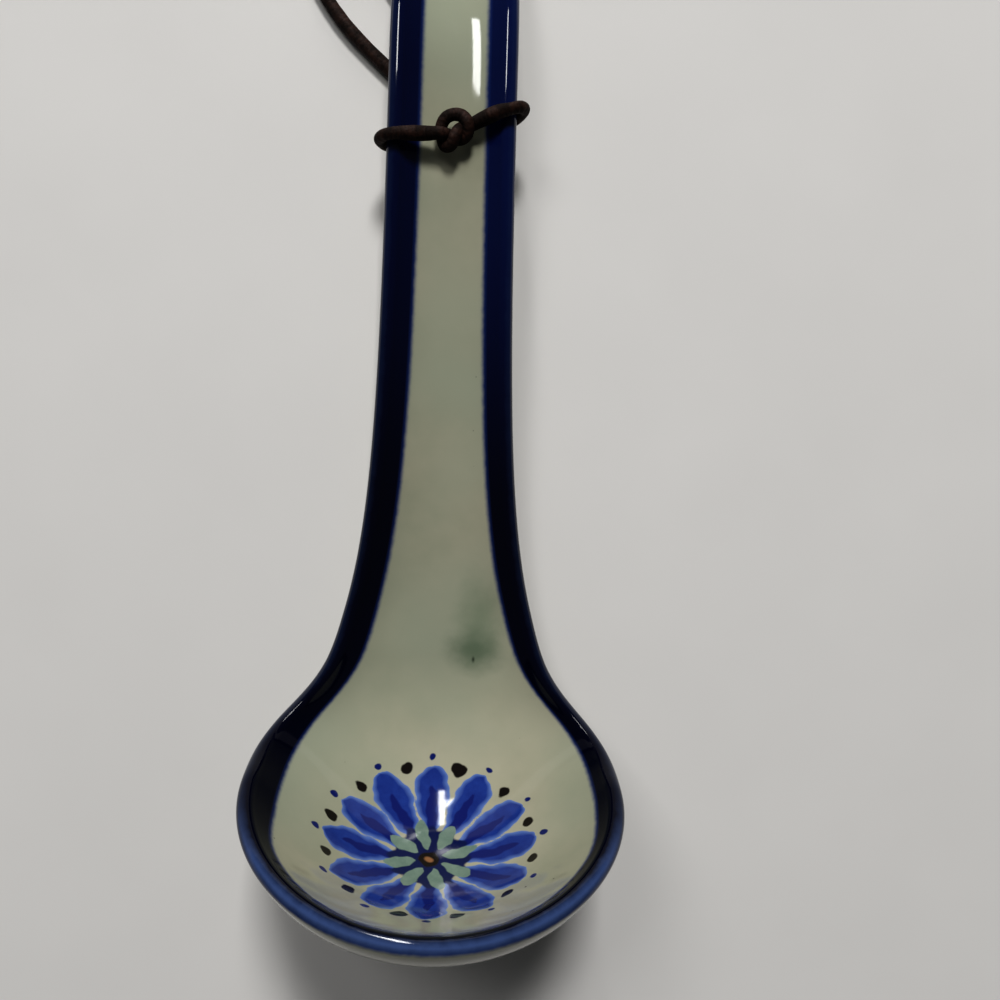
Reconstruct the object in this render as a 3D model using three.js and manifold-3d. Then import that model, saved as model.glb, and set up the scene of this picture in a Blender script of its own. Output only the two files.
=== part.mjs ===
// A glazed stoneware ladle lying on its back, with a leather hanging thong tied round its handle.
// Millimetres. +Z is up, and +Y runs along the handle from the bowl to the handle's end.
import * as THREE from 'three';
import { mergeVertices } from 'three/addons/utils/BufferGeometryUtils.js';
import Module from 'manifold-3d';

const { lerp, smoothstep, degToRad } = THREE.MathUtils;

// The bowl: a round dish with a rolled lip.
const BOWL_RADIUS = 48.8; // over the outside of the lip
const BOWL_DEPTH = 26; // from the lip's crest down to the floor inside
const BOWL_FLOOR = 7.5; // clay under the floor
const BOWL_LIP = 2.4; // radius of the lip's rounding
const BOWL_INSIDE = 66; // slope of the wall just inside the lip, in degrees
const BOWL_OUTSIDE = 72; // slope of the wall just outside the lip
const FOOT_RADIUS = 16; // flat foot ground under the bowl

// The handle: a shallow channel between two rolled edges, swept back at its end.
const HANDLE_ANGLE = 70; // between the handle and the plane of the bowl's lip, in degrees
const HANDLE_HALF_WIDTH = 17.5;
const HANDLE_CHANNEL = 4.6; // from the edge's crest down to the floor of the channel
const HANDLE_FLOOR = 6.6; // clay under the channel
const HANDLE_LIP = 2.6; // radius of the edge's rounding
const HANDLE_INSIDE = 38; // slope of the channel just inside its edge, in degrees
const HANDLE_OUTSIDE = 78; // slope of the side just outside its edge

// Stations along the centre line, measured over the floor from the middle of the bowl.
const SHOULDER = 58.9; // half of the flare from the handle out to the bowl
const SHOULDER_NEAR = 4.6; // how sharply the flare turns on the bowl's side
const SHOULDER_FAR = 3; // and on the handle's side
const RISE_END = 80; // where the bowl's section has become the handle's

// Lengths along the handle, from where it leaves the round floor of the bowl.
const HANDLE_STRAIGHT = 168.6; // up to the sweep
const SWEEP_RADIUS = 64;
const HANDLE_LENGTH = 202.6; // up to the centre of the rounded end
const TIE_PLACE = 149.6; // up to the thong

// The thong: one round leather lace.
const THONG = 3.8; // diameter
const GAP = 0.35; // free play between the lace and what it touches
const LEFT_SLANT = Math.tan(degToRad(9.6)); // the turn sits askew across the handle
const RIGHT_SLANT = Math.tan(degToRad(20));
const KNOT_TURN = 1.23; // radius of the knot's two turns, in lace diameters
const CROSSING = 10.5; // the ends cross behind the handle, this far towards its end
const LOOP_START = 0.7; // from the crossing to the loop's two ends
const LOOP_TURN = 8.8; // radius of the loop's far turn
const LOOP_RETURN = 8.3; // radius of its turn back to the crossing

const X = new THREE.Vector3(1, 0, 0);
const floorRadius = ((BOWL_RADIUS - 2 * BOWL_LIP) ** 2 + BOWL_DEPTH ** 2) / (2 * BOWL_DEPTH);
const leaving = floorRadius * degToRad(HANDLE_ANGLE); // station where the handle leaves the bowl's floor
const sweepStart = leaving + HANDLE_STRAIGHT;
const handleEnd = leaving + HANDLE_LENGTH;
const tieStation = leaving + TIE_PLACE;

// Half of the outside width at a station.
function halfWidth(s) {
  const turn = lerp(SHOULDER_NEAR, SHOULDER_FAR, smoothstep(s, 0.65 * SHOULDER, 1.3 * SHOULDER));
  const flare = 1 / (1 + (s / SHOULDER) ** turn);
  return lerp(HANDLE_HALF_WIDTH, BOWL_RADIUS, flare);
}

// The centre line with the bowl's lip level: an arc up the back of the bowl, a straight handle,
// and an arc back over its end.
function spine(s) {
  const leave = degToRad(HANDLE_ANGLE);
  const rise = Math.min(s / floorRadius, leave);
  const run = THREE.MathUtils.clamp(s - leaving, 0, HANDLE_STRAIGHT);
  const back = Math.max(s - sweepStart, 0) / SWEEP_RADIUS;
  const angle = rise - back;
  const y = floorRadius * Math.sin(rise) + run * Math.cos(leave)
    + SWEEP_RADIUS * (Math.sin(leave) - Math.sin(leave - back));
  const z = floorRadius * (1 - Math.cos(rise)) - BOWL_DEPTH + run * Math.sin(leave)
    + SWEEP_RADIUS * (Math.cos(leave - back) - Math.cos(leave));
  return {
    at: new THREE.Vector3(0, y, z),
    along: new THREE.Vector3(0, Math.cos(angle), Math.sin(angle)),
    out: new THREE.Vector3(0, -Math.sin(angle), Math.cos(angle)),
  };
}

// Half of the section at a station: x is sideways and y is up from the floor of the hollow.
// It runs up the inside, over the lip, and down the outside to the middle of the back.
function section(s) {
  const bowl = 1 - smoothstep(s, 0, RISE_END);
  const rise = lerp(HANDLE_CHANNEL, BOWL_DEPTH, bowl);
  const lip = lerp(HANDLE_LIP, BOWL_LIP, bowl);
  const inside = degToRad(lerp(HANDLE_INSIDE, BOWL_INSIDE, bowl));
  const outside = degToRad(lerp(HANDLE_OUTSIDE, BOWL_OUTSIDE, bowl));
  const under = new THREE.Vector2(0, -lerp(HANDLE_FLOOR, BOWL_FLOOR, bowl));
  const centre = new THREE.Vector2(halfWidth(s) - lip, rise - lip);
  const up = new THREE.Vector2(Math.cos(inside), Math.sin(inside));
  const down = new THREE.Vector2(-Math.cos(outside), -Math.sin(outside));
  const top = new THREE.Vector2(-up.y, up.x).multiplyScalar(lip).add(centre);
  const side = new THREE.Vector2(-down.y, down.x).multiplyScalar(lip).add(centre);
  const pull = 0.37 * top.length();
  const pullDown = side.distanceTo(under);
  const inner = new THREE.CubicBezierCurve(
    new THREE.Vector2(),
    new THREE.Vector2(pull, 0),
    top.clone().addScaledVector(up, -pull),
    top,
  );
  const edge = new THREE.EllipseCurve(
    centre.x, centre.y, lip, lip, inside + Math.PI / 2, outside - Math.PI / 2, true,
  );
  const outer = new THREE.CubicBezierCurve(
    side,
    side.clone().addScaledVector(down, 0.37 * pullDown),
    new THREE.Vector2(lerp(0.5, 0.37, bowl) * pullDown, under.y),
    under,
  );
  return [...inner.getPoints(9), ...edge.getPoints(7).slice(1), ...outer.getPoints(9).slice(1)];
}

// A section set at a station, with its width turned from one side towards a forward direction.
function row(s, side, forward, turn) {
  const { at, out } = spine(s);
  const width = X.clone().multiplyScalar(side * Math.cos(turn)).addScaledVector(forward, Math.sin(turn));
  return section(s).map((p) => at.clone().addScaledVector(width, p.x).addScaledVector(out, p.y));
}

function stations() {
  const near = Array.from({ length: 34 }, (_, k) => (k + 1) * 3.5);
  const first = near.at(-1);
  const far = Array.from({ length: 20 }, (_, k) => lerp(first, handleEnd, (k + 1) / 20));
  return [...near, ...far];
}

// The whole skin: round the front of the bowl, up one side, round the handle's end and back.
function skin() {
  const sides = stations();
  const front = spine(0).along.clone().negate();
  const end = spine(handleEnd).along;
  const rows = [];
  for (let k = 0; k <= 28; k += 1) {
    rows.push(row(0, 1, front, (Math.PI * k) / 28));
  }
  for (const s of sides) {
    rows.push(row(s, -1, front, 0));
  }
  for (let k = 1; k < 14; k += 1) {
    rows.push(row(handleEnd, -1, end, (Math.PI * k) / 14));
  }
  for (const s of sides.toReversed()) {
    rows.push(row(s, 1, front, 0));
  }
  const corners = [];
  const triangle = new THREE.Triangle();
  const add = (a, b, c) => {
    if (triangle.set(a, b, c).getArea() > 1e-7) {
      corners.push(a, b, c);
    }
  };
  rows.forEach((here, i) => {
    const next = rows[(i + 1) % rows.length];
    for (let j = 0; j + 1 < here.length; j += 1) {
      add(here[j], next[j], next[j + 1]);
      add(here[j], next[j + 1], here[j + 1]);
    }
  });
  return mergeVertices(new THREE.BufferGeometry().setFromPoints(corners), 1e-5);
}

// Only the corners of a geometry, shared between its faces.
function bare(geometry) {
  geometry.deleteAttribute('normal');
  geometry.deleteAttribute('uv');
  return mergeVertices(geometry, 1e-5);
}

// Grinds the foot flat under the bowl.
async function withFoot(geometry) {
  const wasm = await Module();
  wasm.setup();
  const solid = ({ attributes, index }) => new wasm.Manifold(new wasm.Mesh({
    numProp: 3,
    vertProperties: new Float32Array(attributes.position.array),
    triVerts: new Uint32Array(index.array),
  }));
  const deep = BOWL_DEPTH + BOWL_FLOOR;
  const underRadius = (BOWL_RADIUS ** 2 + deep ** 2) / (2 * deep);
  const ground = FOOT_RADIUS ** 2 / (2 * underRadius);
  const wheel = new THREE.BoxGeometry(2 * BOWL_RADIUS, 2 * BOWL_RADIUS, deep);
  wheel.translate(0, 0, ground - 1.5 * deep);
  const cut = solid(geometry).subtract(solid(bare(wheel))).getMesh();
  const made = new THREE.BufferGeometry();
  made.setAttribute('position', new THREE.BufferAttribute(new Float32Array(cut.vertProperties), 3));
  made.setIndex(new THREE.BufferAttribute(new Uint32Array(cut.triVerts), 1));
  return made;
}

// The turn that lays the ladle on a table: its back touches at the bowl and at the handle's end.
function layDown(geometry) {
  const position = geometry.attributes.position;
  const point = (_, k) => new THREE.Vector3().fromBufferAttribute(position, k);
  const points = Array.from({ length: position.count }, point);
  const middle = spine(tieStation / 2).at;
  let angle = degToRad(HANDLE_ANGLE);
  for (let k = 0; k < 12; k += 1) {
    const up = new THREE.Vector3(0, -Math.sin(angle), Math.cos(angle));
    const along = new THREE.Vector3(0, Math.cos(angle), Math.sin(angle));
    const lowest = (list) => list.reduce((a, b) => (b.dot(up) < a.dot(up) ? b : a));
    const bowl = lowest(points.filter((p) => p.dot(along) < middle.dot(along)));
    const end = lowest(points.filter((p) => p.dot(along) > middle.dot(along)));
    angle = Math.atan2(end.z - bowl.z, end.y - bowl.y);
  }
  const turned = new THREE.Matrix4().makeRotationX(-angle);
  const box = new THREE.Box3().setFromPoints(points.map((p) => p.clone().applyMatrix4(turned)));
  const middleY = (box.min.y + box.max.y) / 2;
  return new THREE.Matrix4().makeTranslation(0, -middleY, -box.min.z).multiply(turned);
}

// A lace along a route.
function lace(points, step) {
  const path = new THREE.CatmullRomCurve3(points, false, 'centripetal');
  const ring = Array.from({ length: 8 }, (_, k) => {
    const turn = (2 * Math.PI * k) / 8;
    return new THREE.Vector2(Math.cos(turn), Math.sin(turn)).multiplyScalar(THONG / 2);
  });
  return bare(new THREE.ExtrudeGeometry(new THREE.Shape(ring), {
    steps: Math.round(path.getLength() / step),
    extrudePath: path,
    bevelEnabled: false,
  }));
}

// The overhand knot on the handle's front, from right to left in units of the lace's diameter:
// sideways, towards the handle's end, and out. The lace goes once round its own left strand,
// and then once round its own right strand.
function knotRoute() {
  const turn = (centre, from, to, lean) => Array.from({ length: 7 }, (_, k) => {
    const angle = degToRad(lerp(from, to, k / 6));
    return new THREE.Vector3(
      centre.x + lean * Math.sin((Math.PI * k) / 6),
      centre.y + KNOT_TURN * Math.cos(angle),
      centre.z + KNOT_TURN * Math.sin(angle),
    );
  });
  const strand = (x, slant, up, out) => new THREE.Vector3(x, slant * x + up, out);
  return [
    strand(3.3, RIGHT_SLANT, 0.17, 0.26),
    strand(2.4, RIGHT_SLANT, 0.28, 0.45),
    strand(1, RIGHT_SLANT, 0.64, 0.23),
    ...turn(new THREE.Vector3(0, -0.25, 0), -26, -268, -0.35),
    ...turn(new THREE.Vector3(0.15, 1, 0.15), 40, -174, 1.43),
    strand(-0.9, LEFT_SLANT, -0.27, 0),
    strand(-1.7, LEFT_SLANT, -0.23, 0.03),
    strand(-2.5, LEFT_SLANT, -0.17, 0.03),
  ];
}

// The turn round the handle, in the handle's own directions: sideways, along and out.
function tieRoute() {
  const off = THONG / 2 + GAP;
  const half = section(tieStation);
  const crest = half.reduce((best, p, k) => (p.y > half[best].y ? k : best), 0);
  const round = [];
  for (let k = crest; k + 1 < half.length; k += 1) {
    const across = half[k + 1].clone().sub(half[k - 1]).normalize();
    round.push(half[k].clone().add(new THREE.Vector2(-across.y, across.x).multiplyScalar(off)));
  }
  const wide = halfWidth(tieStation);
  const wrap = round.filter((p, k) => k % 2 === 0 && p.x > 0.6 * wide);
  const behind = half.at(-1).y - off;
  const below = behind - THONG - GAP;
  const lift = half[crest].y + off;
  const knot = knotRoute().map((p) => p.multiplyScalar(THONG).setZ(p.z + lift));
  const right = wrap.map((p) => new THREE.Vector3(p.x, RIGHT_SLANT * p.x, p.y));
  const left = wrap.map((p) => new THREE.Vector3(-p.x, -LEFT_SLANT * p.x, p.y));
  return {
    points: [
      new THREE.Vector3(LOOP_START, CROSSING - 0.3 * LOOP_START, behind),
      new THREE.Vector3(0.33 * wide, CROSSING - 1.6, behind - 0.1),
      ...right.reverse(),
      ...knot,
      ...left,
      new THREE.Vector3(-0.42 * wide, CROSSING - 6.4, behind - 1.6),
      new THREE.Vector3(-0.17 * wide, CROSSING - 2.2, below + 0.2),
      new THREE.Vector3(-LOOP_START, CROSSING - 0.4 * LOOP_START, below),
    ],
    upper: new THREE.Vector3(0, CROSSING, behind),
    lower: new THREE.Vector3(0, CROSSING, below),
  };
}

// The hanging loop, laid flat on the table from the crossing out past the handle's side.
function loopRoute(upper, lower) {
  const flat = THONG / 2 + 0.15;
  const on = (x, y, z = flat) => new THREE.Vector3(x, upper.y + y, z);
  const arc = (x, y, radius, from, to, count) => Array.from({ length: count }, (_, k) => {
    const angle = degToRad(lerp(from, to, k / (count - 1)));
    return on(x + radius * Math.cos(angle), y + radius * Math.sin(angle));
  });
  const farTurn = arc(-33.6, 43.6, LOOP_TURN, 194, 34, 8);
  const nearTurn = arc(-5.3, 6.3, LOOP_RETURN, 34, -32, 4);
  nearTurn.forEach((p, k) => p.setZ(lerp(flat, lower.z, (k + 1) / 4)));
  return [
    on(-LOOP_START, 0.35, upper.z - 0.1),
    on(-4.5, 2.4, upper.z - 1.2),
    on(-9.5, 5.6, 0.45 * upper.z),
    on(-15, 9.8),
    on(-20.5, 15),
    on(-26.6, 20.6),
    on(-32.8, 27),
    on(-38.2, 34.2),
    ...farTurn,
    on(-18.6, 37.6),
    on(-10.4, 26.4),
    on(-2.6, 16.6),
    ...nearTurn,
    on(LOOP_START, 0.55, lower.z),
  ];
}

function piece(name, geometry, look) {
  geometry.computeVertexNormals();
  const mesh = new THREE.Mesh(geometry, new THREE.MeshStandardMaterial(look));
  mesh.name = name;
  return mesh;
}

const ladle = await withFoot(skin());
const lying = layDown(ladle);
ladle.applyMatrix4(lying);

const { at, along, out } = spine(tieStation);
const tied = (p) => at.clone().addScaledVector(X, p.x).addScaledVector(along, p.y)
  .addScaledVector(out, p.z).applyMatrix4(lying);
const tie = tieRoute();

const object = new THREE.Group();
object.name = 'ceramic_ladle';
object.add(
  piece('ladle_body', ladle, { color: '#8f8d7b', roughness: 0.15, metalness: 0 }),
  piece('thong_tie', lace(tie.points.map(tied), 1.2), { color: '#2c1f19', roughness: 0.8, metalness: 0 }),
  piece('thong_loop', lace(loopRoute(tied(tie.upper), tied(tie.lower)), 2.6), {
    color: '#33241c', roughness: 0.8, metalness: 0,
  }),
);

export default object;
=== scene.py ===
import math

import bpy
import numpy as np
from mathutils import Matrix, Vector


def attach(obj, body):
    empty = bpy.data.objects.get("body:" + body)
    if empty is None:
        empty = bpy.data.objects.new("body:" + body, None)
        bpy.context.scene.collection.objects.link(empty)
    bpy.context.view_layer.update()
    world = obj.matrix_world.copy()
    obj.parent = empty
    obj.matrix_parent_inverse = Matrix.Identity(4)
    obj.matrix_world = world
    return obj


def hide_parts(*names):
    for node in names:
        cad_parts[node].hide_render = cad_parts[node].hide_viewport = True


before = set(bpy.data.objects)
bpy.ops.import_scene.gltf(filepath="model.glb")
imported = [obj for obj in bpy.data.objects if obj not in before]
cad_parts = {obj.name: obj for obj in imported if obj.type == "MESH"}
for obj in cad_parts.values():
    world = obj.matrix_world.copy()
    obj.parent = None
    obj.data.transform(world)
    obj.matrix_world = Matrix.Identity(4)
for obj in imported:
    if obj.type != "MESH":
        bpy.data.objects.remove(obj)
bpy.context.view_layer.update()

# The ladle: one piece of stoneware, a round bowl whose wall runs out into a channelled handle. It is thrown
# and pulled as one lump, dipped in cobalt along its edges, painted in the bowl, glazed and fired. Its back is
# glazed too, apart from the flat foot that was ground where it stood in the kiln.
BOWL_RADIUS = 48.8  # over the outside of the lip, in millimetres, as all sizes of the ladle
BOWL_DEPTH = 26
BOWL_FLOOR = 7.5
BOWL_LIP = 2.4
BOWL_INSIDE, BOWL_OUTSIDE = 50, 72  # slopes beside the lip, in degrees
FRONT_DIP, DIP_REACH = 2.4, 24  # how much lower the lip is at the front, and how far down that reaches
FOOT_RADIUS = 16
UNDERSIDE = 20  # from the lip's crest down the outside, beyond which the clay counts as underneath
HANDLE_ANGLE = 70
HANDLE_HALF_WIDTH = 17.5
HANDLE_CHANNEL = 4.6
HANDLE_FLOOR = 6.6
HANDLE_LIP = 2.6
HANDLE_INSIDE, HANDLE_OUTSIDE = 38, 78
SHOULDER, SHOULDER_NEAR, SHOULDER_FAR = 58.9, 4.6, 3  # where it narrows, and how sharply before and after
RISE_END = 80  # where the bowl's depth has run out into the channel's
HANDLE_STRAIGHT = 168.6
SWEEP_RADIUS = 64
HANDLE_LENGTH = 202.6
LYING_ANGLE = 66.538  # the turn that lays the back of the bowl and of the handle's end on the table
FULLNESS, UNDER_FULLNESS = 0.37, 0.5  # of the walls and of the handle's underside, as shares of a chord

floor_radius = ((BOWL_RADIUS - 2 * BOWL_LIP) ** 2 + BOWL_DEPTH**2) / (2 * BOWL_DEPTH)
leaving = floor_radius * math.radians(HANDLE_ANGLE)
sweep_start = leaving + HANDLE_STRAIGHT
handle_end = leaving + HANDLE_LENGTH


def mix(a, b, share):
    return a + (b - a) * share


def smooth(x, low, high):
    share = np.clip((x - low) / (high - low), 0, 1)
    return share * share * (3 - 2 * share)


def half_width(s):
    turn = mix(SHOULDER_NEAR, SHOULDER_FAR, smooth(s, 0.65 * SHOULDER, 1.3 * SHOULDER))
    return mix(HANDLE_HALF_WIDTH, BOWL_RADIUS, 1 / (1 + (s / SHOULDER) ** turn))


def centre_line(s):
    """The point on the floor's middle at a station, and the directions along it and out of the hollow."""
    leave = math.radians(HANDLE_ANGLE)
    rise = min(s / floor_radius, leave)
    run = min(max(s - leaving, 0), HANDLE_STRAIGHT)
    back = max(s - sweep_start, 0) / SWEEP_RADIUS
    y = floor_radius * math.sin(rise) + run * math.cos(leave)
    y += SWEEP_RADIUS * (math.sin(leave) - math.sin(leave - back))
    z = floor_radius * (1 - math.cos(rise)) - BOWL_DEPTH + run * math.sin(leave)
    z += SWEEP_RADIUS * (math.cos(leave - back) - math.cos(leave))
    angle = rise - back
    along = np.array([0, math.cos(angle), math.sin(angle)])
    out = np.array([0, -math.sin(angle), math.cos(angle)])
    return np.array([0, y, z]), along, out


def bezier(a, b, c, d, t):
    t = t[:, None]
    return a * (1 - t) ** 3 + 3 * b * t * (1 - t) ** 2 + 3 * c * t**2 * (1 - t) + d * t**3


# Where the inside, the lip's rounding and the outside of a section are cut into points.
INNER = np.concatenate([np.linspace(0, 0.64, 64), np.linspace(0.64, 1, 20)[1:]])
LIP = np.linspace(0, 1, 15)[1:]
OUTER = np.linspace(0, 1, 30)[1:]


def section(s):
    """Half of the section at a station: up the inside, over the lip and down the outside.
    Gives its points, their lengths from the middle of the floor, and those from the crest of the lip."""
    bowl = 1 - smooth(s, 0, RISE_END)
    lip = mix(HANDLE_LIP, BOWL_LIP, bowl)
    inside = math.radians(mix(HANDLE_INSIDE, BOWL_INSIDE, bowl))
    outside = math.radians(mix(HANDLE_OUTSIDE, BOWL_OUTSIDE, bowl))
    under = np.array([0, -mix(HANDLE_FLOOR, BOWL_FLOOR, bowl)])
    centre = np.array([half_width(s) - lip, mix(HANDLE_CHANNEL, BOWL_DEPTH, bowl) - lip])
    up = np.array([math.cos(inside), math.sin(inside)])
    down = np.array([-math.cos(outside), -math.sin(outside)])
    top = centre + lip * np.array([-up[1], up[0]])
    side = centre + lip * np.array([-down[1], down[0]])
    pull = FULLNESS * np.linalg.norm(top)
    chord = np.linalg.norm(side - under)
    flat_under = np.array([mix(UNDER_FULLNESS, FULLNESS, bowl) * chord, 0])
    turn = mix(inside + math.pi / 2, outside - math.pi / 2, LIP)
    points = np.concatenate([
        bezier(np.zeros(2), np.array([pull, 0]), top - pull * up, top, INNER),
        centre + lip * np.stack([np.cos(turn), np.sin(turn)], 1),
        bezier(side, side + FULLNESS * chord * down, under + flat_under, under, OUTER),
    ])
    length = np.concatenate([[0], np.cumsum(np.linalg.norm(np.diff(points, axis=0), axis=1))])
    crest = len(INNER) + np.argmin(np.abs(turn - math.pi / 2))
    return points, length, length[crest] - length


def row(s, side, forward, turn):
    """One row of the skin, and where it lies on the inside rolled out flat, from the middle of the bowl."""
    at, along, out = centre_line(s)
    points, length, edge = section(s)
    width = side * math.cos(turn) * np.array([1, 0, 0]) + math.sin(turn) * forward
    place = at + points[:, :1] * width + points[:, 1:] * out
    flat = np.stack([side * math.cos(turn) * length, s + math.sin(turn) * length * (1 if s else -1)], 1)
    return place, flat, edge


# The rows go round the front of the bowl, up the left side, round the end and down the right side. They stand
# closest where the bowl is painted.
sides = np.concatenate([np.arange(0.6, 33, 0.6), np.arange(33, 120, 1.3), np.linspace(120, handle_end, 62)])
front = np.array([0, -1, 0])
rows = [row(0, 1, front, turn) for turn in np.linspace(0, math.pi, 181)]
rows += [row(s, -1, front, 0) for s in sides]
end_way = centre_line(handle_end)[1]
rows += [row(handle_end, -1, end_way, turn) for turn in np.linspace(0, math.pi, 42)[1:-1]]
rows += [row(s, 1, front, 0) for s in sides[::-1]]
place = np.concatenate([r[0] for r in rows])
flat = np.concatenate([r[1] for r in rows])
edge = np.concatenate([r[2] for r in rows])
columns = len(rows[0][0])
facing = np.clip(-flat[:, 1] / np.maximum(np.hypot(flat[:, 0], flat[:, 1]), 1e-6), 0, 1)
place[:, 2] -= FRONT_DIP * facing**2 * (1 - smooth(np.abs(edge), 0, DIP_REACH))

deep = BOWL_DEPTH + BOWL_FLOOR
under_radius = (BOWL_RADIUS**2 + deep**2) / (2 * deep)
ground = FOOT_RADIUS**2 / (2 * under_radius) - deep
underneath = edge < -UNDERSIDE
NO_FOOT = 9  # stands for well outside the foot
foot = np.where(underneath, np.hypot(place[:, 0], place[:, 1]) - FOOT_RADIUS, NO_FOOT)
place[underneath & (place[:, 2] < ground), 2] = ground

tilt = math.radians(LYING_ANGLE)
lie_y = place[:, 1] * math.cos(tilt) + place[:, 2] * math.sin(tilt)
lie_z = place[:, 2] * math.cos(tilt) - place[:, 1] * math.sin(tilt)
middle_y, lowest_z = (lie_y.min() + lie_y.max()) / 2, lie_z.min()
place = np.stack([place[:, 0], lie_y - middle_y, lie_z - lowest_z], 1)

# The paint, as distances in millimetres from the edge of each brush stroke, below nought inside it: the
# cobalt band along the lip, and a plain round flower in the bowl with petals, their ribs, rings of beads and a
# green star. The band is wider on the left, by a share of that on the handle, and narrower at the front.
BAND_BOWL, BAND_HANDLE = 8.0, 7.5  # width inside the lip's crest
BAND_LEFT, BAND_LEFT_HANDLE, BAND_NARROW = 1.7, 0.45, 2.4
BAND_OUTSIDE, BAND_FRONT = 4.8, 4.0  # width outside the crest, at the sides and at the front
PETALS, PETAL_START, PETAL_TIP, PETAL_HALF, PETAL_FULLEST = 12, 4.2, 30.2, 5.2, 0.7
RIB_START, RIB_SHORT, RIB_HALF, RIB_FULLEST = 9, 5, 1.5, 0.45
BEAD_RING, BEAD = 29.2, 1.9
SMALL_BEAD_RING, SMALL_BEAD = 32.4, 1.05
LEAVES, LEAF_START, LEAF_TIP, LEAF_HALF, LEAF_FULLEST, LEAF_TURN = 8, 3.6, 12.6, 1.9, 0.55, 0.3
HEART, HEART_WAVE = 10.4, 0.8
BLUNT = 0.62  # how blunt a stroke's tip is

# The brush wanders a little from the drawn places.
u, v = flat[:, 0], flat[:, 1]
across = u + 0.3 * np.sin(0.8 * v + 1) + 0.16 * np.sin(1.7 * v - 0.6 * u)
upward = v + 0.3 * np.sin(0.7 * u + 2) + 0.16 * np.sin(1.5 * u + 0.9 * v)
radius, angle = np.hypot(across, upward), np.arctan2(across, upward)


def uneven(number, kind):
    """A fixed share from 0 to 1 for each numbered stroke, as a hand varies."""
    wave = np.sin(number * 12.9898 + kind * 78.233) * 43758.5453
    return wave - np.floor(wave)


def spoke(count, shift):
    """Which of a ring of strokes a point is nearest to, and its distances out along it and across it."""
    share = angle * count / (2 * math.pi) + shift
    number = np.round(share)
    off = (share - number) * 2 * math.pi / count
    return number % count, radius * np.cos(off), radius * np.sin(off)


def leaf_shape(out, side, start, tip, half, fullest):
    """Distance to a stroke with two pointed ends that is fullest at a share of its length."""
    share = np.clip((out - start) / (tip - start), 1e-4, 1 - 1e-4)
    point = BLUNT * fullest / (1 - fullest)
    width = half * (share / fullest) ** point * ((1 - share) / (1 - fullest)) ** BLUNT
    beyond = np.maximum(np.maximum(start - out, out - tip), 0)
    past = np.abs(side) - width
    return np.hypot(np.maximum(past, 0), beyond) + np.minimum(past, 0)


number, out, side = spoke(PETALS, 0)
tip = PETAL_TIP + 1.2 * (uneven(number, 1) - 0.5)
petal_half = PETAL_HALF * (0.96 + 0.08 * uneven(number, 2))
petal = leaf_shape(out, side, PETAL_START, tip, petal_half, PETAL_FULLEST)
rib_tip = tip - RIB_SHORT - 2 * uneven(number, 4)
rib = leaf_shape(out, side + 0.3 * (uneven(number, 3) - 0.5), RIB_START, rib_tip, RIB_HALF, RIB_FULLEST)
small_bead = np.hypot(out - SMALL_BEAD_RING, side) - SMALL_BEAD * (0.85 + 0.3 * uneven(number, 5))
number, out, side = spoke(PETALS, 0.5)
bead = np.hypot(out - BEAD_RING - 0.7 * (uneven(number, 6) - 0.5), side - 0.5 * (uneven(number, 7) - 0.5))
bead -= BEAD * (0.82 + 0.36 * uneven(number, 8))
number, out, side = spoke(LEAVES, LEAF_TURN)
leaf = leaf_shape(out, side, LEAF_START, LEAF_TIP + uneven(number, 9), LEAF_HALF, LEAF_FULLEST)
heart = radius - HEART - HEART_WAVE * np.cos(PETALS * angle)
left_share = mix(1, BAND_LEFT_HANDLE, smooth(v, 30, 90)) * smooth(v, -40, 0)
band_width = mix(BAND_BOWL, BAND_HANDLE, smooth(v, 45, 85)) - BAND_NARROW * smooth(-v, 4, 26)
band_width -= BAND_LEFT * left_share * np.tanh(u / 12)
band = np.maximum(edge - band_width, -edge - mix(BAND_OUTSIDE, BAND_FRONT, facing**2))
thin = 1 - 0.85 * smooth(v, -36, -4)  # how far the blue thins over the lip
pool = 1 - smooth(v, 100, 215) * mix(0.5, 1, smooth(u, -10, 10))  # how dark the band's blue is: darkest in the bowl, lighter towards the handle's end, fully on the right band and half on the left, partly thinner blue and partly painted reflection of light from the left
dull = np.maximum(smooth(edge, 0.5, 2.5), 0.75 * smooth(v, -42, -22))  # where thick blue dulls the glaze
dull *= (1 - smooth(band, -0.5, 0.5)) * (1 - smooth(v, 30, 55))
paint = {"edge": edge, "pool": pool, "band": band, "petal": petal, "rib": rib, "small_bead": small_bead,
         "bead": bead, "leaf": leaf, "heart": heart, "eye": radius, "foot": foot, "thin": thin, "dull": dull}

# The rows meet in the middle of the floor and of the back, so their shared points are merged.
_, first, same = np.unique(np.round(place, 4), axis=0, return_index=True, return_inverse=True)
grid = same.reshape(len(rows), columns)
after = np.roll(grid, -1, axis=0)
quads = np.stack([grid[:, :-1], after[:, :-1], after[:, 1:], grid[:, 1:]], -1).reshape(-1, 4)
faces = []
for quad in quads.tolist():
    face = [corner for k, corner in enumerate(quad) if corner != quad[k - 1]]
    if len(set(face)) == len(face) > 2:
        faces.append(face)
skin = bpy.data.meshes.new("ladle")
skin.from_pydata((place[first] / 1000).tolist(), [], faces)
for name, values in paint.items():
    skin.attributes.new(name, "FLOAT", "POINT").data.foreach_set("value", values[first].astype(np.float32))
rolled = np.column_stack([flat[first], np.zeros(len(first))]) / 1000
rolled_out = skin.attributes.new("flat", "FLOAT_VECTOR", "POINT")
rolled_out.data.foreach_set("vector", rolled.astype(np.float32).ravel())
skin.shade_smooth()
ladle = bpy.data.objects.new("ladle", skin)
bpy.context.scene.collection.objects.link(ladle)


def linear(hex_colour):
    """A linear RGBA colour from sRGB hex."""
    parts = [int(hex_colour[k:k + 2], 16) / 255 for k in (1, 3, 5)]
    return [p / 12.92 if p <= 0.04045 else ((p + 0.055) / 1.055) ** 2.4 for p in parts] + [1]


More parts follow.
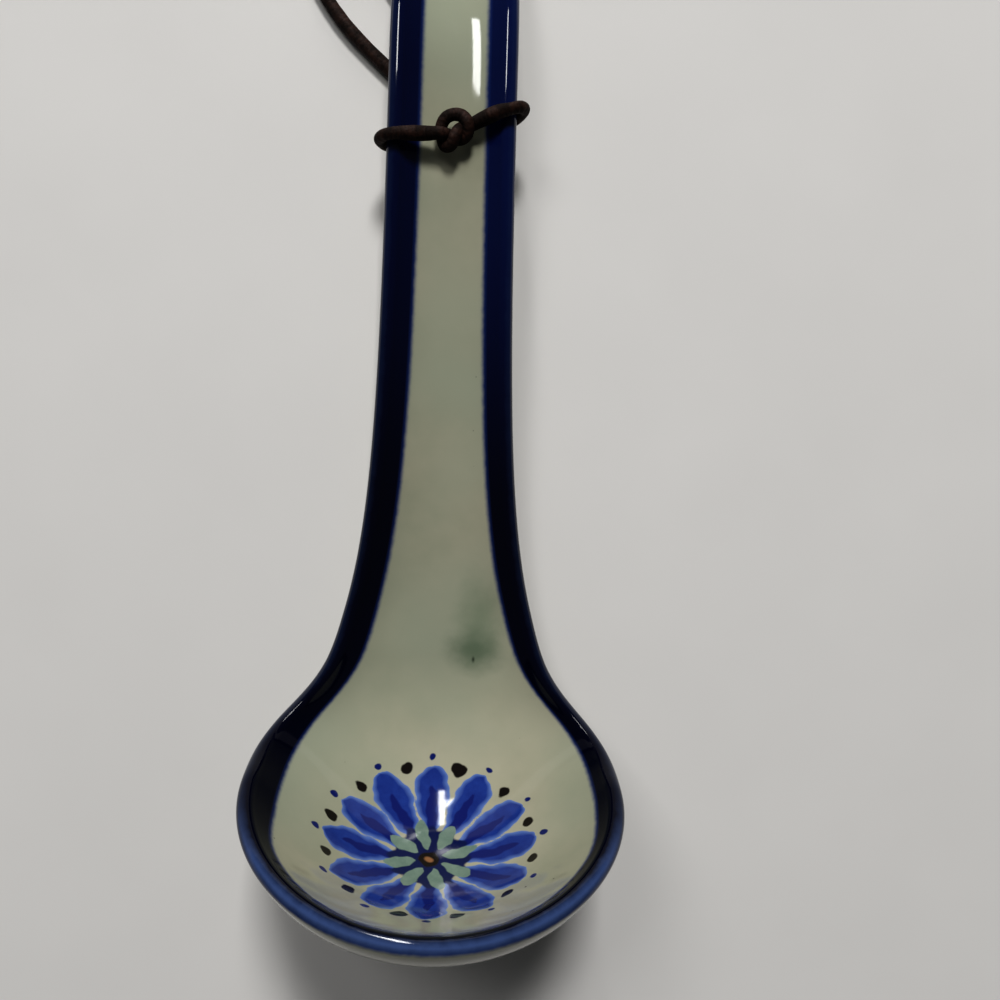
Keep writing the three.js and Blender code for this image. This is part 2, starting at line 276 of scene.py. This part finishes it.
def node(tree, kind, inputs=None, **settings):
    """Adds a node with its settings, values and links, and gives its outputs by identifier."""
    made = tree.nodes.new(kind)
    for name, value in settings.items():
        setattr(made, name, value)
    for name, value in (inputs or {}).items():
        socket = next(s for s in made.inputs if s.identifier == name)
        if isinstance(value, bpy.types.NodeSocket):
            tree.links.new(value, socket)
        else:
            socket.default_value = value
    return {s.identifier: s for s in made.outputs}


# Clear-glazed stoneware with underglaze cobalt: a warm grey body that shows through a glossy clear glaze,
# with iron specks, a green bloom in the neck, and blue that pools dark and thins to a lighter blue on the lip.
glaze = bpy.data.materials.new("clear_glazed_stoneware")
glaze.use_nodes = True
tree = glaze.node_tree
shader = tree.nodes["Principled BSDF"]
in_object = node(tree, "ShaderNodeTexCoord")["Object"]
mark = {name: node(tree, "ShaderNodeAttribute", attribute_name=name)["Fac"] for name in paint}
unrolled = node(tree, "ShaderNodeAttribute", attribute_name="flat")["Vector"]

cloud = node(tree, "ShaderNodeTexNoise", {"Vector": in_object, "Scale": 1 / 0.034, "Detail": 4,
                                          "Roughness": 0.6})["Fac"]
tint = node(tree, "ShaderNodeTexNoise", {"Vector": in_object, "Scale": 1 / 0.07, "Detail": 2})["Color"]
warm = node(tree, "ShaderNodeMapRange", {"Value": cloud, "From Min": 0.36, "From Max": 0.66})["Result"]
green = node(tree, "ShaderNodeMapRange", {"Value": tint, "From Min": 0.42, "From Max": 0.62})["Result"]
colour = node(tree, "ShaderNodeMix", {"Factor_Float": warm, "A_Color": linear("#868673"),
                                      "B_Color": linear("#96927f")}, data_type="RGBA")["Result_Color"]
colour = node(tree, "ShaderNodeMix", {"Factor_Float": green, "A_Color": colour, "B_Color": linear("#8b8f7d")},
              data_type="RGBA")["Result_Color"]

# Iron specks, most under 0.6 mm across, all through the clay: about a third of its 5 mm cells hold one.
cell = node(tree, "ShaderNodeTexVoronoi", {"Vector": in_object, "Scale": 1 / 0.005})
chance = node(tree, "ShaderNodeMapRange", {"Value": cell["Color"], "From Min": 0.45, "From Max": 0.85,
                                           "To Max": 0.075})["Result"]
speck = node(tree, "ShaderNodeMath", {"Value": chance, "Value_001": cell["Distance"]},
             operation="SUBTRACT")["Value"]
speck = node(tree, "ShaderNodeMapRange", {"Value": speck, "From Min": 0, "From Max": 0.03,
                                          "To Max": 0.75})["Result"]
colour = node(tree, "ShaderNodeMix", {"Factor_Float": speck, "A_Color": colour, "B_Color": linear("#3b382c")},
              data_type="RGBA")["Result_Color"]

# The green bloom where copper flashed in the kiln, with its dark drop, by the right edge of the neck.
for middle, size, reach, shade in (((0.0125, 0.0725), (0.0100, 0.0185), 0.60, "#5f6d58"),
                                   ((0.0112, 0.0640), (0.0115, 0.0090), 0.75, "#4b5a47"),
                                   ((0.0110, 0.0612), (0.0007, 0.0013), 0.85, "#22291f")):
    shrunk = (1 / size[0], 1 / size[1], 0)
    moved = (-middle[0] / size[0], -middle[1] / size[1], 0)
    away = node(tree, "ShaderNodeMapping", {"Vector": unrolled, "Scale": shrunk,
                                            "Location": moved})["Vector"]
    rough_edge = node(tree, "ShaderNodeTexNoise", {"Vector": unrolled, "Scale": 1 / 0.006,
                                                   "Detail": 3})["Fac"]
    away = node(tree, "ShaderNodeVectorMath", {"Vector": away}, operation="LENGTH")["Value"]
    away = node(tree, "ShaderNodeMath", {"Value": rough_edge, "Value_001": 0.5, "Value_002": away},
                operation="MULTIPLY_ADD")["Value"]
    there = node(tree, "ShaderNodeMapRange", {"Value": away, "From Min": 0.25, "From Max": 1.3,
                                              "To Min": reach, "To Max": 0},
                 interpolation_type="SMOOTHSTEP")["Result"]
    colour = node(tree, "ShaderNodeMix", {"Factor_Float": there, "A_Color": colour, "B_Color": linear(shade)},
                  data_type="RGBA")["Result_Color"]

# Each stroke's edge wavers by about 0.3 mm, as a brush leaves it, and the glaze softens it.
waver = node(tree, "ShaderNodeTexNoise", {"Vector": unrolled, "Scale": 1 / 0.0022, "Detail": 3})["Fac"]
blot = node(tree, "ShaderNodeTexNoise", {"Vector": unrolled, "Scale": 1 / 0.005, "Detail": 4,
                                         "Roughness": 0.65})["Fac"]
petal_pale = node(tree, "ShaderNodeMapRange", {"Value": mark["petal"], "From Min": -1.7, "From Max": 0.1,
                                               "To Max": 0.75})["Result"]
petal_blue = node(tree, "ShaderNodeMix", {"Factor_Float": blot, "A_Color": linear("#0f1a58"),
                                          "B_Color": linear("#263f86")}, data_type="RGBA")["Result_Color"]
petal_blue = node(tree, "ShaderNodeMix", {"Factor_Float": petal_pale, "A_Color": petal_blue,
                                          "B_Color": linear("#5f79ac")}, data_type="RGBA")["Result_Color"]
leaf_green = node(tree, "ShaderNodeMix", {"Factor_Float": blot, "A_Color": linear("#445a52"),
                                          "B_Color": linear("#78887a")}, data_type="RGBA")["Result_Color"]
band_deep = node(tree, "ShaderNodeMapRange", {"Value": mark["band"], "From Min": -1.5,
                                              "From Max": 0.0})["Result"]
# Partly painted reflection: the band's deep blue lightens towards the handle's end, fully on the right band
# and half on the left, partly as thinner blue and partly standing for light from the left mirrored in it.
band_depth_and_painted_sheen = node(tree, "ShaderNodeMix", {"Factor_Float": mark["pool"], "A_Color": linear("#081238"),
                                         "B_Color": linear("#020311")}, data_type="RGBA")["Result_Color"]
band_blue = node(tree, "ShaderNodeMix", {"Factor_Float": band_deep, "A_Color": band_depth_and_painted_sheen,
                                         "B_Color": linear("#1a2a5a")}, data_type="RGBA")["Result_Color"]
# The blue is thinnest in a strip 2 mm outside the lip's crest, where it ran off.
crest = node(tree, "ShaderNodeMath", {"Value": mark["edge"], "Value_001": 2.0}, operation="ADD")["Value"]
crest = node(tree, "ShaderNodeMath", {"Value": crest}, operation="ABSOLUTE")["Value"]
crest = node(tree, "ShaderNodeMath", {"Value": blot, "Value_001": 1.6, "Value_002": crest},
             operation="MULTIPLY_ADD")["Value"]
crest = node(tree, "ShaderNodeMapRange", {"Value": crest, "From Min": 0.9, "From Max": 2.9, "To Min": 0.8,
                                          "To Max": 0})["Result"]
crest = node(tree, "ShaderNodeMath", {"Value": crest, "Value_001": mark["thin"]},
             operation="MULTIPLY")["Value"]
band_blue = node(tree, "ShaderNodeMix", {"Factor_Float": crest, "A_Color": band_blue,
                                         "B_Color": linear("#394b74")}, data_type="RGBA")["Result_Color"]
for name, bleed, stroke, wave in (("petal", 0.22, petal_blue, 0.5), ("rib", 0.3, linear("#131c58"), 0.6),
                                  ("small_bead", 0.2, linear("#101a52"), 0.5),
                                  ("bead", 0.25, linear("#15110f"), 0.6),
                                  ("heart", 0.5, linear("#10183f"), 0.9), ("leaf", 0.2, leaf_green, 0.5),
                                  ("band", 0.85, band_blue, 0.6)):
    wavered = node(tree, "ShaderNodeMath", {"Value": waver, "Value_001": wave, "Value_002": mark[name]},
                   operation="MULTIPLY_ADD")["Value"]
    there = node(tree, "ShaderNodeMapRange", {"Value": wavered, "From Min": wave / 2 - bleed,
                                              "From Max": wave / 2 + bleed, "To Min": 1, "To Max": 0},
                 interpolation_type="SMOOTHSTEP")["Result"]
    colour = node(tree, "ShaderNodeMix", {"Factor_Float": there, "A_Color": colour, "B_Color": stroke},
                  data_type="RGBA")["Result_Color"]
# The flower's dark eye, with a brown dot in it.
for reach, shade in ((2.7, "#17110f"), (1.05, "#7a5639")):
    there = node(tree, "ShaderNodeMapRange", {"Value": mark["eye"], "From Min": reach - 0.3,
                                              "From Max": reach + 0.3, "To Min": 1, "To Max": 0})["Result"]
    colour = node(tree, "ShaderNodeMix", {"Factor_Float": there, "A_Color": colour, "B_Color": linear(shade)},
                  data_type="RGBA")["Result_Color"]

# The foot is bare buff clay, ground flat, with a darker roll of glaze round it.
grit = node(tree, "ShaderNodeTexNoise", {"Vector": in_object, "Scale": 1 / 0.0011, "Detail": 3})["Fac"]
clay = node(tree, "ShaderNodeMix", {"Factor_Float": grit, "A_Color": linear("#8f8069"),
                                    "B_Color": linear("#b9aa92")}, data_type="RGBA")["Result_Color"]
roll = node(tree, "ShaderNodeMapRange", {"Value": mark["foot"], "From Min": 0.2, "From Max": 1.6,
                                         "To Min": 0.55, "To Max": 0})["Result"]
colour = node(tree, "ShaderNodeMix", {"Factor_Float": roll, "A_Color": colour, "B_Color": linear("#57503f")},
              data_type="RGBA")["Result_Color"]
bare = node(tree, "ShaderNodeMapRange", {"Value": mark["foot"], "From Min": -0.4, "From Max": 0.1,
                                         "To Min": 1, "To Max": 0})["Result"]
colour = node(tree, "ShaderNodeMix", {"Factor_Float": bare, "A_Color": colour, "B_Color": clay},
              data_type="RGBA")["Result_Color"]
gloss = node(tree, "ShaderNodeMapRange", {"Value": bare, "To Min": 0.07, "To Max": 0.85})["Result"]
ripple = node(tree, "ShaderNodeTexNoise", {"Vector": in_object, "Scale": 1 / 0.011, "Detail": 1})["Fac"]
skin_height = node(tree, "ShaderNodeMath", {"Value": grit, "Value_001": bare}, operation="MULTIPLY")["Value"]
skin_height = node(tree, "ShaderNodeMath", {"Value": ripple, "Value_001": 0.9, "Value_002": skin_height},
                   operation="MULTIPLY_ADD")["Value"]
relief = node(tree, "ShaderNodeBump", {"Height": skin_height, "Strength": 1, "Distance": 0.00008})["Normal"]
# The glaze mirrors less over the thick blue.
GLAZE_MIRROR, DULL_MIRROR = 0.3, 0.08
mirror = node(tree, "ShaderNodeMapRange", {"Value": mark["dull"], "To Min": GLAZE_MIRROR,
                                           "To Max": DULL_MIRROR})["Result"]
tree.links.new(colour, shader.inputs["Base Color"])
tree.links.new(gloss, shader.inputs["Roughness"])
tree.links.new(relief, shader.inputs["Normal"])
tree.links.new(mirror, shader.inputs["Specular IOR Level"])
shader.inputs["IOR"].default_value = 1.5
skin.materials.append(glaze)
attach(ladle, "ladle")
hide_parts("ladle_body")

# The tie: the part of the leather lace that goes round the handle. It comes from behind, is tied in one
# overhand knot in the channel, is drawn tight and goes back behind the handle, where its two ends cross.
LACE, GAP = 3.8, 0.35
DRAWN, CLOSE = 0.82, 1.9  # over the edges: the share of its thickness left, and how near its middle lies
KNOTTED = 0.84  # the share that is left in the knot
TIE_THICK, LOOP_THICK = 4.1, 3.9  # diameters as drawn, the tie's before it is pulled tight
ROUTE_STEP = 0.4
LEFT_SLANT, RIGHT_SLANT = math.tan(math.radians(5.2)), math.tan(math.radians(20))
CROSSING, MEETING = 10.5, 0.7
TIE_PLACE = leaving + 149.6


def through(points, step):
    """A smooth line through the points, one point to each step."""
    points = np.array(points, float)
    points = np.concatenate([[2 * points[0] - points[1]], points, [2 * points[-1] - points[-2]]])
    line = []
    for a, b, c, d in zip(points[:-3], points[1:-2], points[2:-1], points[3:]):
        ab, bc, cd = (np.sqrt(np.linalg.norm(q - p)) for p, q in ((a, b), (b, c), (c, d)))
        start = ((b - a) / ab - (c - a) / (ab + bc) + (c - b) / bc) * bc
        end = ((c - b) / bc - (d - b) / (bc + cd) + (d - c) / cd) * bc
        t = np.arange(0, 1, step / np.linalg.norm(c - b))[:, None]
        bend = (3 * (c - b) - 2 * start - end) * t**2 + (2 * (b - c) + start + end) * t**3
        line.append(b + start * t + bend)
    return np.concatenate(line + [points[-2:-1]])


def laid(points):
    """Points of the standing ladle, as they lie on the table."""
    points = np.array(points, float)
    lie_y = points[:, 1] * math.cos(tilt) + points[:, 2] * math.sin(tilt)
    lie_z = points[:, 2] * math.cos(tilt) - points[:, 1] * math.sin(tilt)
    return np.stack([points[:, 0], lie_y - middle_y, lie_z - lowest_z], 1)


off = LACE / 2 + GAP
around, _, crest_way = section(TIE_PLACE)
around = around[np.argmin(np.abs(crest_way)):]
wide = around[:, 0].max()
step_along = np.gradient(around, axis=0)
step_along /= np.linalg.norm(step_along, axis=1)[:, None]
round_edge = around + CLOSE * np.stack([-step_along[:, 1], step_along[:, 0]], 1)
lift = around[0, 1] + CLOSE
behind = around[-1, 1] - off
below = behind - LACE - GAP
wrap = round_edge[round_edge[:, 0] > 0.6 * wide][::4]
# One overhand knot, from the right strand to the left: side, along and out, in millimetres. It goes under
# the ring, through its eye, over and round the left strand, and then makes the ring. It is pulled tight and
# lies in the channel.
KNOT_TIGHT, KNOT_AT = 0.82, (0.8, 0.36, -2)
loose_knot = [(4.6, 2.0, -1.7), (1.7, 0.5, -0.1), (0.2, -2.3, 1.7), (-1.0, -4.9, 0.6), (-3.0, -4.7, -1.0),
              (-4.2, -1.6, -1.7), (-4.5, 1.3, -1.1), (-3.1, 4.0, -0.3), (-0.2, 5.1, 0.4), (2.8, 4.2, 1.1),
              (4.5, 1.8, 1.7), (4.5, -0.9, 0.3), (2.7, -2.2, -1.2), (0.1, -2.1, -1.7), (-2.2, -1.7, 0.1),
              (-4.4, -1.5, 1.7)]
knot = KNOT_TIGHT * np.array(loose_knot) + KNOT_AT
tie_route = [(0, CROSSING, behind, 0.95), (MEETING, CROSSING - 0.3 * MEETING, behind, 0.95),
             (0.33 * wide, CROSSING - 1.6, behind - 0.1, 0.95)]
tie_route += [(x, RIGHT_SLANT * x, y, DRAWN) for x, y in wrap[::-1]]
tie_route += [(12.6, 4.9, lift - 0.1, 0.95), (8.4, 3.5, lift - 1.9, 0.97)]
tie_route += [(x, y, z + lift, KNOTTED) for x, y, z in knot]
tie_route += [(-5.9, -0.95, lift - 0.9, 0.95), (-10.6, -1.3, lift - 0.1, 0.97)]
tie_route += [(-x, -LEFT_SLANT * x, y, DRAWN) for x, y in wrap]
tie_route += [(-0.42 * wide, CROSSING - 6.4, behind - 1.6, 0.9),
              (-0.17 * wide, CROSSING - 2.2, below + 0.2, 0.95),
              (-MEETING, CROSSING - 0.4 * MEETING, below, 0.95), (0, CROSSING, below, 0.95)]
at, along, out = centre_line(TIE_PLACE)
placed = laid([at + x * np.array([1, 0, 0]) + y * along + z * out for x, y, z, _ in tie_route])
tie_line = through(np.column_stack([placed, [point[3] for point in tie_route]]), ROUTE_STEP)

# Leather lace, cut and rolled round: dry dark brown, lighter where it is rubbed, with fine creases across it
# and painted shade in them.
leather = bpy.data.materials.new("dark_brown_lace_leather")
leather.use_nodes = True
tree = leather.node_tree
shader = tree.nodes["Principled BSDF"]
in_object = node(tree, "ShaderNodeTexCoord")["Object"]
far_along = node(tree, "ShaderNodeAttribute", attribute_name="along")["Fac"]
worn = node(tree, "ShaderNodeTexNoise", {"Vector": in_object, "Scale": 1 / 0.004, "Detail": 4,
                                         "Roughness": 0.6})["Fac"]
worn = node(tree, "ShaderNodeMapRange", {"Value": worn, "From Min": 0.4, "From Max": 0.68})["Result"]
grain = node(tree, "ShaderNodeTexVoronoi", {"Vector": in_object, "Scale": 1 / 0.0006},
             feature="F1")["Distance"]
bend = node(tree, "ShaderNodeTexNoise", {"Vector": in_object, "Scale": 1 / 0.003, "Detail": 2})["Fac"]
CREASE_APART = 0.0014
crease = node(tree, "ShaderNodeMath", {"Value": bend, "Value_001": 0.0022, "Value_002": far_along},
              operation="MULTIPLY_ADD")["Value"]
crease = node(tree, "ShaderNodeMath", {"Value": crease, "Value_001": 2 * math.pi / CREASE_APART},
              operation="MULTIPLY")["Value"]
crease = node(tree, "ShaderNodeMath", {"Value": crease}, operation="SINE")["Value"]
hide = node(tree, "ShaderNodeMix", {"Factor_Float": worn, "A_Color": linear("#160d09"),
                                    "B_Color": linear("#301d16")}, data_type="RGBA")["Result_Color"]
# Painted shade: the colour darkens towards near black in the bottoms of the creases.
painted_crease_shade = node(tree, "ShaderNodeMapRange", {"Value": crease, "From Min": 0.3, "From Max": 1,
                                         "To Max": 0.35})["Result"]
hide = node(tree, "ShaderNodeMix", {"Factor_Float": painted_crease_shade, "A_Color": hide, "B_Color": linear("#080403")},
            data_type="RGBA")["Result_Color"]
height = node(tree, "ShaderNodeMath", {"Value": crease, "Value_001": -0.35, "Value_002": grain},
              operation="MULTIPLY_ADD")["Value"]
relief = node(tree, "ShaderNodeBump", {"Height": height, "Strength": 0.8, "Distance": 0.00012})["Normal"]
rub = node(tree, "ShaderNodeMapRange", {"Value": worn, "To Min": 0.82, "To Max": 0.6})["Result"]
tree.links.new(hide, shader.inputs["Base Color"])
tree.links.new(rub, shader.inputs["Roughness"])
tree.links.new(relief, shader.inputs["Normal"])
shader.inputs["IOR"].default_value = 1.45
shader.inputs["Specular IOR Level"].default_value = 0.2

# The lace is drawn along its route: a round tube that swells and narrows a little, as hand-cut lace does.
UNEVENNESS, LACE_SIDES = 0.1, 24
lace_tree = bpy.data.node_groups.new("lace_along_route", "GeometryNodeTree")
lace_tree.interface.new_socket("Route", in_out="INPUT", socket_type="NodeSocketGeometry")
lace_inputs = {}
for name, kind in (("Radius", "NodeSocketFloat"), ("Unevenness", "NodeSocketFloat"),
                   ("Step", "NodeSocketFloat"), ("Sides", "NodeSocketInt"),
                   ("Leather", "NodeSocketMaterial")):
    lace_inputs[name] = lace_tree.interface.new_socket(name, in_out="INPUT", socket_type=kind).identifier
lace_tree.interface.new_socket("Lace", in_out="OUTPUT", socket_type="NodeSocketGeometry")
given = node(lace_tree, "NodeGroupInput")
route = next(socket for socket in given.values() if socket.name == "Route")
line = node(lace_tree, "GeometryNodeMeshToCurve", {"Mesh": route})["Curve"]
line = node(lace_tree, "GeometryNodeResampleCurve", {"Curve": line, "Length": given[lace_inputs["Step"]]},
            mode="LENGTH")["Curve"]
run = node(lace_tree, "GeometryNodeSplineParameter")["Length"]
line = node(lace_tree, "GeometryNodeStoreNamedAttribute", {"Geometry": line, "Name": "along",
                                                           "Value": run})["Geometry"]
swell = node(lace_tree, "ShaderNodeTexNoise", {"W": run, "Scale": 1 / 0.006, "Detail": 1},
             noise_dimensions="1D")["Fac"]
swell = node(lace_tree, "ShaderNodeMath", {"Value": swell, "Value_001": 0.5}, operation="SUBTRACT")["Value"]
swell = node(lace_tree, "ShaderNodeMath", {"Value": swell, "Value_001": given[lace_inputs["Unevenness"]],
                                           "Value_002": 1.0}, operation="MULTIPLY_ADD")["Value"]
drawn = node(lace_tree, "GeometryNodeInputNamedAttribute", {"Name": "share"}, data_type="FLOAT")["Attribute"]
swell = node(lace_tree, "ShaderNodeMath", {"Value": swell, "Value_001": drawn}, operation="MULTIPLY")["Value"]
thick = node(lace_tree, "ShaderNodeMath", {"Value": swell, "Value_001": given[lace_inputs["Radius"]]},
             operation="MULTIPLY")["Value"]
ring = node(lace_tree, "GeometryNodeCurvePrimitiveCircle", {"Resolution": given[lace_inputs["Sides"]],
                                                            "Radius": 1.0})["Curve"]
tube = node(lace_tree, "GeometryNodeCurveToMesh", {"Curve": line, "Profile Curve": ring, "Scale": thick,
                                                   "Fill Caps": True})["Mesh"]
tube = node(lace_tree, "GeometryNodeSetShadeSmooth", {"Geometry": tube})["Geometry"]
tube = node(lace_tree, "GeometryNodeRealizeInstances", {"Geometry": tube})["Geometry"]
tube = node(lace_tree, "GeometryNodeSetMaterial", {"Geometry": tube,
                                                   "Material": given[lace_inputs["Leather"]]})["Geometry"]
node(lace_tree, "NodeGroupOutput", {lace_tree.interface.items_tree["Lace"].identifier: tube})


def lace(name, points, shares, diameter):
    """A piece of lace along the points, of that share of the diameter at each, all in millimetres."""
    guide = bpy.data.meshes.new(name)
    guide.from_pydata((points / 1000).tolist(), [(k, k + 1) for k in range(len(points) - 1)], [])
    guide.attributes.new("share", "FLOAT", "POINT").data.foreach_set("value", shares.astype(np.float32))
    piece = bpy.data.objects.new(name, guide)
    bpy.context.scene.collection.objects.link(piece)
    made = piece.modifiers.new("lace", "NODES")
    made.node_group = lace_tree
    for label, value in (("Radius", diameter / 2000), ("Unevenness", UNEVENNESS), ("Step", ROUTE_STEP / 1000),
                         ("Sides", LACE_SIDES), ("Leather", leather)):
        made[lace_inputs[label]] = value
    finished = bpy.data.meshes.new_from_object(piece.evaluated_get(bpy.context.evaluated_depsgraph_get()))
    piece.modifiers.remove(made)
    piece.data = finished
    finished.name = name
    return piece


tie = lace("thong_tie_lace", tie_line[:, :3], tie_line[:, 3], TIE_THICK)
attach(tie, "tie")
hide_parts("thong_tie")

# The loop: the rest of the same lace, from which the ladle hangs. It comes out from behind the handle on the
# left, lies on the table beside it in one long bend and goes back to the crossing.
LOOP_TURN, LOOP_RETURN = 8.8, 8.3  # radii of its far turn and of its turn back to the crossing
OFF_TABLE = 0.15
upper, lower = laid([at + CROSSING * along + height * out for height in (behind, below)])
resting = LACE / 2 + OFF_TABLE
# Its points, from the crossing: to the right, along and, from the table, up.
loop_route = [(0, 0, upper[2]), (-MEETING, 0.35, upper[2] - 0.1), (-4.5, 2.4, upper[2] - 1.2),
              (-9.5, 5.6, 0.45 * upper[2])]
loop_route += [(x, y, resting)
               for x, y in ((-15, 9.8), (-20.5, 15), (-26.6, 20.6), (-32.8, 27), (-38.2, 34.2))]
loop_route += [(-33.6 + LOOP_TURN * math.cos(a), 43.6 + LOOP_TURN * math.sin(a), resting)
               for a in np.radians(np.linspace(194, 34, 8))]
loop_route += [(x, y, resting) for x, y in ((-18.6, 37.6), (-10.4, 26.4), (-2.6, 16.6))]
loop_route += [(-5.3 + LOOP_RETURN * math.cos(a), 6.3 + LOOP_RETURN * math.sin(a),
                mix(resting, lower[2], (k + 1) / 4))
               for k, a in enumerate(np.radians(np.linspace(34, -32, 4)))]
loop_route += [(MEETING, 0.55, lower[2]), (0, lower[1] - upper[1], lower[2])]
loop_line = through([(x, upper[1] + y, z) for x, y, z in loop_route], ROUTE_STEP)
loop = lace("thong_loop_lace", loop_line, np.ones(len(loop_line)), LOOP_THICK)
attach(loop, "loop")
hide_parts("thong_loop")

# The table: a plain pale matt sheet that the ladle lies on. Soft studio light falls on it from behind, and
# the camera looks down from nearly straight above the bowl.
paper = bpy.data.materials.new("matt_pale_paper")
paper.use_nodes = True
tree = paper.node_tree
shader = tree.nodes["Principled BSDF"]
in_object = node(tree, "ShaderNodeTexCoord")["Object"]
fibre = node(tree, "ShaderNodeTexNoise", {"Vector": in_object, "Scale": 1 / 0.05, "Detail": 3})["Fac"]
pale = node(tree, "ShaderNodeMix", {"Factor_Float": fibre, "A_Color": linear("#c6c4c1"),
                                    "B_Color": linear("#cccac7")}, data_type="RGBA")["Result_Color"]
tree.links.new(pale, shader.inputs["Base Color"])
shader.inputs["Roughness"].default_value = 0.9
sheet = bpy.data.meshes.new("table")
TABLE_HALF, TABLE_TOP = 6, -0.0002
corners = ((-1, -1), (1, -1), (1, 1), (-1, 1))
sheet.from_pydata([(x * TABLE_HALF, y * TABLE_HALF, TABLE_TOP) for x, y in corners], [], [(0, 1, 2, 3)])
sheet.materials.append(paper)
table = bpy.data.objects.new("table", sheet)
bpy.context.scene.collection.objects.link(table)

# Two soft boxes behind polarising sheets light the clay and the table without showing in the glaze. A tall
# strip lamp behind the handle and a small one close over its end draw the white lines that do show there.
AT_LADLE = (0, -0.02, 0.03)
for name, stand, aim, size, power, seen_in_glaze, lights_clay in (
        ("soft_left", (-0.93, 1.30, 2.02), AT_LADLE, (0.8, 0.8), 15, False, True),
        ("soft_back", (0.10, 1.66, 1.95), AT_LADLE, (0.5, 0.5), 50, False, True),
        ("back_strip", (-0.22, 2.49, 0.66), AT_LADLE, (0.13, 1.08), 16, True, True),
        ("near_strip", (-0.030, 0.152, 0.098), (-0.030, 0.152, 0), (0.018, 0.080), 0.11, True, False)):
    lamp = bpy.data.lights.new(name, "AREA")
    lamp.shape = "RECTANGLE"
    lamp.size, lamp.size_y = size
    lamp.energy = power
    holder = bpy.data.objects.new(name, lamp)
    holder.location = stand
    holder.rotation_euler = (Vector(aim) - Vector(stand)).to_track_quat("-Z", "Y").to_euler()
    holder.visible_glossy, holder.visible_diffuse = seen_in_glaze, lights_clay
    holder.visible_camera = False
    bpy.context.scene.collection.objects.link(holder)
world = bpy.data.worlds.new("studio")
world.use_nodes = True
world.node_tree.nodes["Background"].inputs["Color"].default_value = linear("#e9edf2")
world.node_tree.nodes["Background"].inputs["Strength"].default_value = 0.07
bpy.context.scene.world = world
bpy.context.scene.view_settings.view_transform = "Standard"
bpy.context.scene.view_settings.look = "Medium High Contrast"

# The photograph's camera: a short lens close over the bowl, leaned and turned a little.
lens = bpy.data.cameras.new("photograph")
lens.sensor_width, lens.lens = 36, 32.4
lens.shift_x, lens.shift_y = 0.0535, 0.042
lens.clip_start = 0.01
eye = bpy.data.objects.new("photograph", lens)
lean, turned = 0.036268, math.radians(1.7023)
straight_up = Vector((0, math.cos(lean), -math.sin(lean)))
backward = Vector((0, math.sin(lean), math.cos(lean)))
right = Vector((1, 0, 0)) * math.cos(turned) + straight_up * math.sin(turned)
upright = straight_up * math.cos(turned) - Vector((1, 0, 0)) * math.sin(turned)
eye_place = Matrix.Translation((0.0019955, -0.0342025, 0.2741796))
eye.matrix_world = eye_place @ Matrix((right, upright, backward)).transposed().to_4x4()
bpy.context.scene.collection.objects.link(eye)
bpy.context.scene.camera = eye
